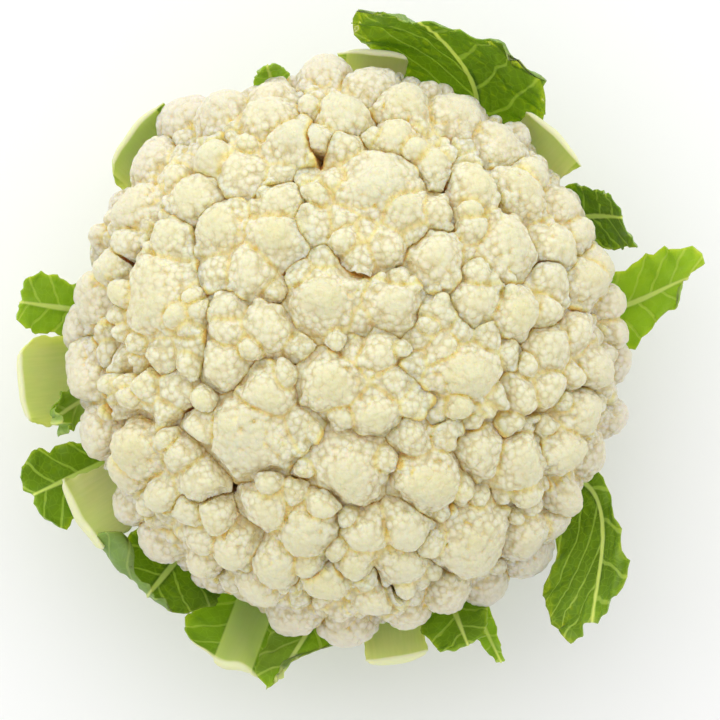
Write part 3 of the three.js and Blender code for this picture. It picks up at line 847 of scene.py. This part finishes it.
def stem():
    radius, turn, height, scar = stem_side()
    number = np.arange(radius.size).reshape(radius.shape)
    number[0], number[-1] = number[0, 0], number[-1, 0]  # the first and last rows are single points
    after = np.roll(number, -1, 1)
    halves = [[number[:-1], after[:-1], after[1:]], [number[:-1], after[1:], number[1:]]]
    triangles = np.concatenate([np.stack(half, -1).reshape(-1, 3) for half in halves])
    triangles = triangles[(triangles != np.roll(triangles, 1, 1)).all(1)]
    used, triangles = np.unique(triangles, return_inverse=True)
    attributes = {"cut": ease(0.6, 0, height), "scar": scar, "radius": radius}
    attributes = {key: values.ravel()[used] for key, values in attributes.items()}
    points = placed(radius, turn, height).reshape(-1, 3)[used]
    mesh_piece("stem", points, triangles.reshape(-1, 3), stem_material(), attributes)


# ---- Materials ----

TOP_BUDS, FLANK_BUDS = 760, 500  # cells to the metre of buds, on the tops and on the flanks of lobes
VEIN_APART = 10.0  # mm between side veins along the midrib
VEIN_SLOPE = 0.9  # how far along the leaf a side vein runs for each mm across


class Look:
    """A material, its shader, and the values that its colours start from."""

    def __init__(self, name):
        self.material = bpy.data.materials.new(name)
        self.material.use_nodes = True
        self.tree = self.material.node_tree
        self.shader = self.tree.nodes["Principled BSDF"]

    def attribute(self, name):
        return add(self.tree, "Attribute", attribute_name=name).outputs["Fac"]

    def place(self):
        return add(self.tree, "TexCoord").outputs["Object"]

    def noise(self, scale, detail):
        inputs = {"Vector": self.place(), "Scale": scale, "Detail": detail}
        return add(self.tree, "TexNoise", inputs).outputs["Fac"]

    def cells(self, scale, feature):
        inputs = {"Vector": self.place(), "Scale": scale}
        return add(self.tree, "TexVoronoi", inputs, feature=feature).outputs["Distance"]

    def flesh(self, colour, roughness, scatter, radius):
        """Moist plant tissue, in which red, green and blue light scatters as far as the radius in metres."""
        put(self.shader, {
            "Base Color": colour, "Roughness": roughness, "Subsurface Weight": scatter,
            "Subsurface Radius": radius, "Subsurface Scale": 1,
        })

    def bump(self, height, strength, distance):
        bumpy = add(self.tree, "Bump", {"Height": height, "Strength": strength, "Distance": distance})
        put(self.shader, {"Normal": bumpy.outputs["Normal"]})


def add(tree, kind, inputs=(), **settings):
    node = tree.nodes.new("ShaderNode" + kind)
    for key, value in settings.items():
        setattr(node, key, value)
    put(node, dict(inputs))
    return node


def put(node, inputs):
    """Links a node's inputs to other nodes' outputs, or gives them values."""
    for key, value in inputs.items():
        if isinstance(value, bpy.types.NodeSocket):
            node.id_data.links.new(value, node.inputs[key])
        else:
            node.inputs[key].default_value = value


def span(value, low, high, to_low=0.0, to_high=1.0):
    inputs = {"Value": value, "From Min": low, "From Max": high, "To Min": to_low, "To Max": to_high}
    return add(value.id_data, "MapRange", inputs).outputs["Result"]


def mix(share, first, second):
    """A mix of two colours, whose sockets in the node have numbers only."""
    return add(share.id_data, "Mix", {0: share, 6: first, 7: second}, data_type="RGBA").outputs[2]


def maths(operation, first, second=0.0):
    return add(first.id_data, "Math", {0: first, 1: second}, operation=operation).outputs[0]


def times(first, second):
    return maths("MULTIPLY", first, second)


def rgb(*values):
    """A colour from its 8-bit sRGB values, none of them near 0."""
    return (*[((value / 255 + 0.055) / 1.055) ** 2.4 for value in values], 1.0)


def curd_material():
    """Creamy white with painted light: a lighter cream on flanks and in hollows to offset their shade,
    painted shade as tan between the buds of the flanks, and a painted warm glow in creases, seams and deep
    clefts.
    """
    look = Look("curd")
    hollow = look.attribute("hollow")
    depth = look.attribute("depth")
    tone = look.noise(45, 2)
    flank = maths("MAXIMUM", span(depth, 0.8, 4), span(hollow, -0.3, 0.4))
    fine = look.cells(TOP_BUDS, "F1")
    coarse = look.cells(FLANK_BUDS, "F1")
    top = mix(span(tone, 0.35, 0.65), rgb(223, 220, 189), rgb(222, 217, 175))
    # Painted light: a lighter cream on the flanks and in hollows, to offset the shade that falls there.
    shade_offset_cream = mix(flank, top, rgb(244, 238, 206))
    height = add(look.tree, "SeparateXYZ", {0: look.place()}).outputs["Z"]
    ivory = mix(span(height, 0.06, 0.1), rgb(226, 219, 203), shade_offset_cream)
    # Painted shade: tan between the buds of the flanks, where shade falls between them.
    bud_shade = times(span(coarse, 0.42, 0.7, 0, 0.5), flank)
    between = mix(bud_shade, ivory, rgb(202, 186, 128))
    seam = look.attribute("seam")
    # Where the painted glow of creases goes: hollows, and the seams beside borders between florets.
    crease = maths("MAXIMUM", span(hollow, 0.1, 1.1), span(seam, 0, 1, 0, 0.7))
    above = span(height, 0.044, 0.054)
    # Painted light: a light warm yellow in creases and seams, a painted glow of scattered light that also
    # offsets their shade.
    crease_glow = mix(crease, between, rgb(250, 232, 150))
    sunk = times(span(depth, 7, 16), span(height, 0.058, 0.07))
    # A painted orange glow on the walls down between florets.
    wall = mix(span(seam, 1, 1.8), crease_glow, rgb(248, 204, 118))
    # And a painted warm glow in the deep clefts, lighter to offset their shade.
    deep = mix(sunk, wall, rgb(240, 204, 130))
    colour = mix(above, rgb(224, 226, 196), deep)
    look.flesh(colour, roughness=0.6, scatter=0.8, radius=(0.008, 0.0064, 0.0032))
    small = times(maths("POWER", fine, 2), span(flank, 0, 1, 0.28, 0))
    large = times(maths("POWER", coarse, 2), span(flank, 0, 1, 0.2, 1))
    buds = times(maths("ADD", small, large), above)
    look.bump(buds, 0.9, -0.0018)
    return look.material


def leaf_material():
    """A green blade with side veins and a net between them, a pale stalk and a cream cut end."""
    look = Look("leaf")
    tone = look.attribute("tone")
    along = look.attribute("along")
    across = look.attribute("across")
    aside = maths("ABSOLUTE", across)

    stray = span(look.noise(70, 2), 0, 1, -0.25, 0.25)
    other_side = times(maths("GREATER_THAN", across), 0.45)
    run = maths("SUBTRACT", along, times(aside, VEIN_SLOPE))
    place = maths("ADD", maths("DIVIDE", run, VEIN_APART), maths("ADD", stray, other_side))
    off = maths("ABSOLUTE", maths("SUBTRACT", maths("FRACT", place), 0.5))
    off = times(off, VEIN_APART * 0.7)
    off = maths("SUBTRACT", off, span(aside, 0, 30, 0.3, 0.08))
    side_vein = span(off, 0, 0.3, 1, 0)
    outside_rib = span(maths("SUBTRACT", aside, look.attribute("rib")), -0.2, 0.3)
    green = times(outside_rib, look.attribute("blade"))
    net = span(look.cells(360, "DISTANCE_TO_EDGE"), 0, 0.09, 0.2, 0)

    mottled = span(look.noise(60, 3), 0.3, 0.7)
    dark = mix(mottled, rgb(36, 60, 14), rgb(62, 92, 24))
    bright = mix(mottled, rgb(122, 156, 34), rgb(154, 190, 56))
    blade = mix(tone, dark, bright)
    netted = mix(net, blade, rgb(150, 182, 70))
    veined = mix(times(side_vein, 0.42), netted, rgb(186, 208, 110))
    strands = add(look.tree, "CombineXYZ", {"X": across, "Y": times(along, 0.05)}).outputs[0]
    fibres = add(look.tree, "TexNoise", {"Vector": strands, "Scale": 1.1, "Detail": 3.0}).outputs["Fac"]
    pale = mix(span(along, 10, 100), rgb(240, 242, 216), rgb(238, 246, 150))
    stalk = mix(span(fibres, 0.35, 0.65, 0, 0.3), pale, rgb(214, 230, 130))
    behind = mix(times(look.attribute("back"), 0.4), veined, rgb(150, 182, 110))
    midrib = mix(times(look.attribute("blade"), 0.7), stalk, rgb(192, 214, 116))
    waxy = mix(green, midrib, behind)
    colour = mix(look.attribute("cut"), waxy, rgb(230, 233, 190))
    look.flesh(colour, roughness=0.45, scatter=0.6, radius=(0.004, 0.005, 0.0008))
    put(look.shader, {"Specular IOR Level": 0.3})
    sunk = times(maths("MAXIMUM", net, side_vein), -0.8)
    relief = maths("ADD", times(sunk, green), times(fibres, 0.25))
    look.bump(relief, 0.5, 0.0005)
    return look.material


def stem_material():
    """Pale green skin with tan scars, and a cut face with pith, a woody ring and drying blotches."""
    look = Look("stem")
    blotch = span(look.noise(70, 4), 0.3, 0.7)
    skin = mix(blotch, rgb(198, 208, 160), rgb(222, 226, 196))
    scarred = mix(times(look.attribute("scar"), 0.8), skin, rgb(206, 190, 146))
    ring = span(look.attribute("radius"), 14, 20)
    pith = mix(span(look.noise(420, 3), 0.3, 0.7), rgb(228, 220, 184), rgb(238, 232, 204))
    wood = mix(ring, pith, rgb(214, 208, 164))
    drying = mix(span(look.noise(38, 3), 0.55, 0.75, 0, 0.5), wood, rgb(190, 164, 112))
    colour = mix(look.attribute("cut"), scarred, drying)
    look.flesh(colour, roughness=0.6, scatter=0.15, radius=(0.003, 0.0025, 0.0015))
    look.bump(look.noise(900, 3), 0.4, 0.0004)
    return look.material


def floor_material():
    look = Look("floor")
    colour = mix(look.noise(3, 2), (0.95, 0.95, 0.95, 1), (0.97, 0.97, 0.97, 1))
    put(look.shader, {"Base Color": colour, "Roughness": 0.9})
    return look.material


# ---- Stage ----

VIEW_CENTRE = (3.75, -3.75)  # what the camera looks down on, in mm
VIEW_WIDTH = 225.0  # how wide the picture is at the head's widest level
VIEW_DISTANCE = 950.0  # from the camera down to that level
FLOOR_HALF = 3.0  # half the width of the floor, in metres
WORLD_STRENGTH = 0.82
KEY_LIGHT = {"place": (-0.25, 1.28, 1.35), "size": 3.2, "power": 27.5}  # in metres and watts
KEY_AIM = (0, 0, 0.06)


def floor():
    mesh = bpy.data.meshes.new("floor")
    corners = [(x * FLOOR_HALF, y * FLOOR_HALF, 0) for x, y in ((-1, -1), (1, -1), (1, 1), (-1, 1))]
    mesh.from_pydata(corners, [], [(0, 1, 2, 3)])
    mesh.materials.append(floor_material())
    linked("floor", mesh)


def studio():
    world = bpy.data.worlds.new("studio")
    world.use_nodes = True
    put(world.node_tree.nodes["Background"], {"Color": (1, 1, 1, 1), "Strength": WORLD_STRENGTH})
    bpy.context.scene.world = world
    light = bpy.data.lights.new("key", "AREA")
    light.size = KEY_LIGHT["size"]
    light.energy = KEY_LIGHT["power"]
    lamp = linked("key", light)
    lamp.location = KEY_LIGHT["place"]
    lamp.rotation_euler = (Vector(KEY_AIM) - lamp.location).to_track_quat("-Z", "Y").to_euler()
    lamp.visible_camera = False


def camera():
    data = bpy.data.cameras.new("camera")
    data.sensor_width = 36
    data.lens = data.sensor_width * VIEW_DISTANCE / VIEW_WIDTH
    eye = linked("camera", data)
    eye.location = [place * MM for place in (*VIEW_CENTRE, WIDEST + VIEW_DISTANCE)]
    bpy.context.scene.camera = eye


curd()
leaves()
stem()
floor()
studio()
camera()
bpy.context.scene.view_settings.view_transform = "Standard"
